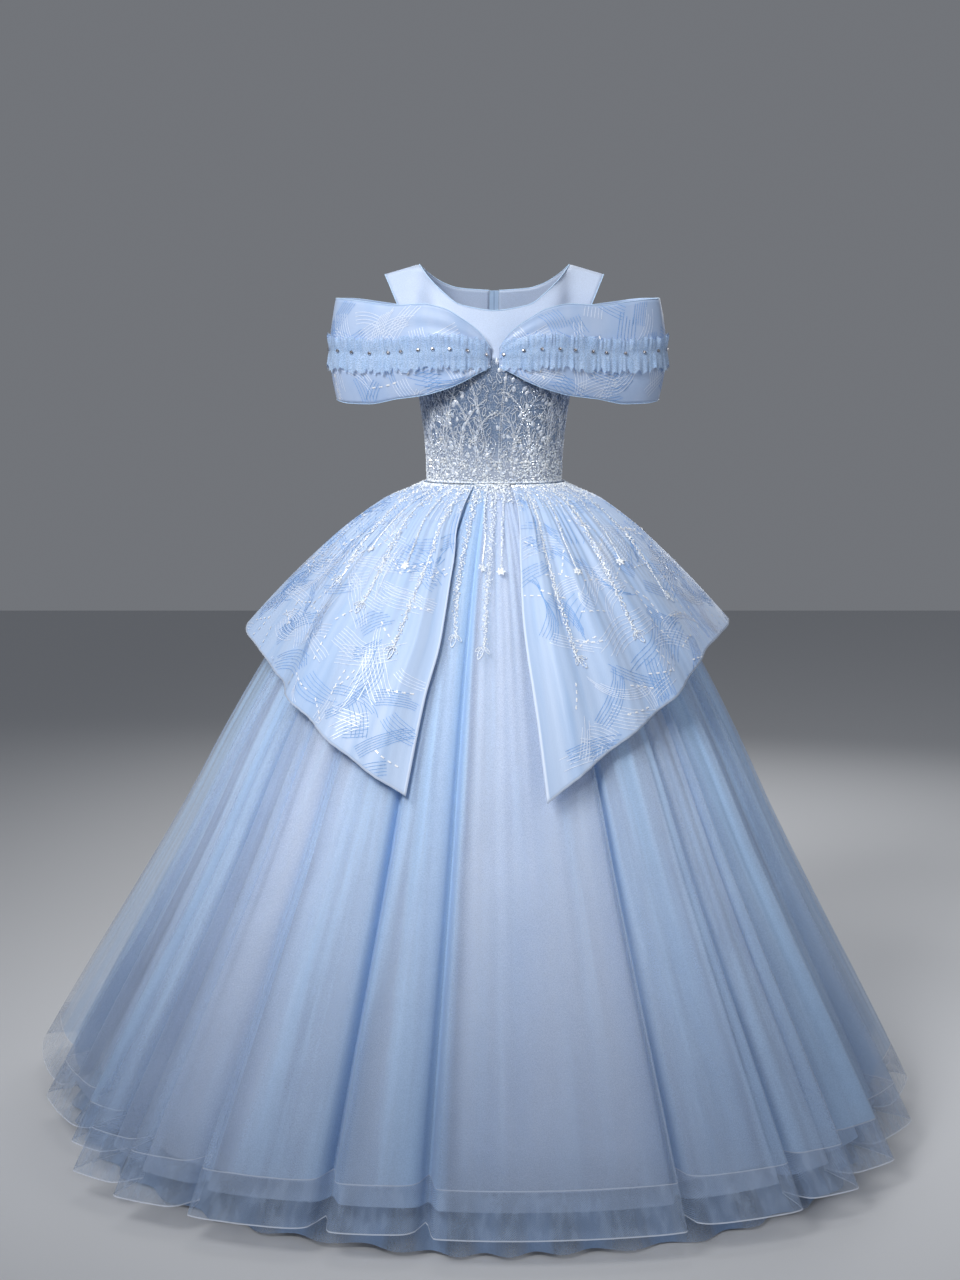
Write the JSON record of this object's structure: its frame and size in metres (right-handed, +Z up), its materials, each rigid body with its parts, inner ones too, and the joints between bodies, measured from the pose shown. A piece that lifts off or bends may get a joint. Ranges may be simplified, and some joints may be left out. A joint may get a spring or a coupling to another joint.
{
  "type": "ball gown",
  "caption": "Floor-length ball gown with a fitted bodice, sheer yoke, gathered off-shoulder bands, a pointed overskirt and a full skirt of folded tulle.",
  "frame": {"origin": "centre of the waist seam, where the wearer's waist holds the gown", "axes": "+Z up through the neck opening, the front of the gown faces -Y, +X is to the right seen from the front"},
  "size_m": [1.6497, 1.64, 1.5356],
  "materials": {
    "satin": "soft satin, slight sheen",
    "lace": "beaded lace over satin",
    "sheer": "fine plain tulle",
    "glitter_tulle": "gathered tulle with fine glitter lines",
    "tulle": "several layers of soft tulle",
    "horsehair": "stiff translucent braid",
    "net": "stiff net",
    "zip_tape": "woven tape",
    "zip_metal": "satin nickel"
  },
  "bodies": {
    "gown": {"underskirt": "satin", "bodice_front": "lace", "bodice_side_L": "lace", "bodice_side_R": "lace", "bodice_back_L": "lace", "bodice_back_R": "lace", "yoke_front": "sheer", "yoke_back_L": "sheer", "yoke_back_R": "sheer", "band_L": "glitter_tulle", "band_R": "glitter_tulle", "frill_L": "glitter_tulle", "frill_R": "glitter_tulle", "overskirt_front_L": "glitter_tulle", "overskirt_front_R": "glitter_tulle", "overskirt_back_L": "glitter_tulle", "overskirt_back_R": "glitter_tulle", "skirt_front": "tulle", "skirt_side_L": "tulle", "skirt_side_R": "tulle", "skirt_back_L": "tulle", "skirt_back_R": "tulle", "hem_braid": "horsehair", "petticoat": "net", "zip_tape": "zip_tape", "zip_slider": "zip_metal"},
    "pull": {"zip_pull": "zip_metal"}
  },
  "joints": [
    {"name": "pull_swing", "type": "hinge", "parent": "gown", "child": "pull", "pos_m": [0, 0.08422, 0.32425], "axis": [1, 0, 0], "range_deg": [0, 160]}
  ]
}
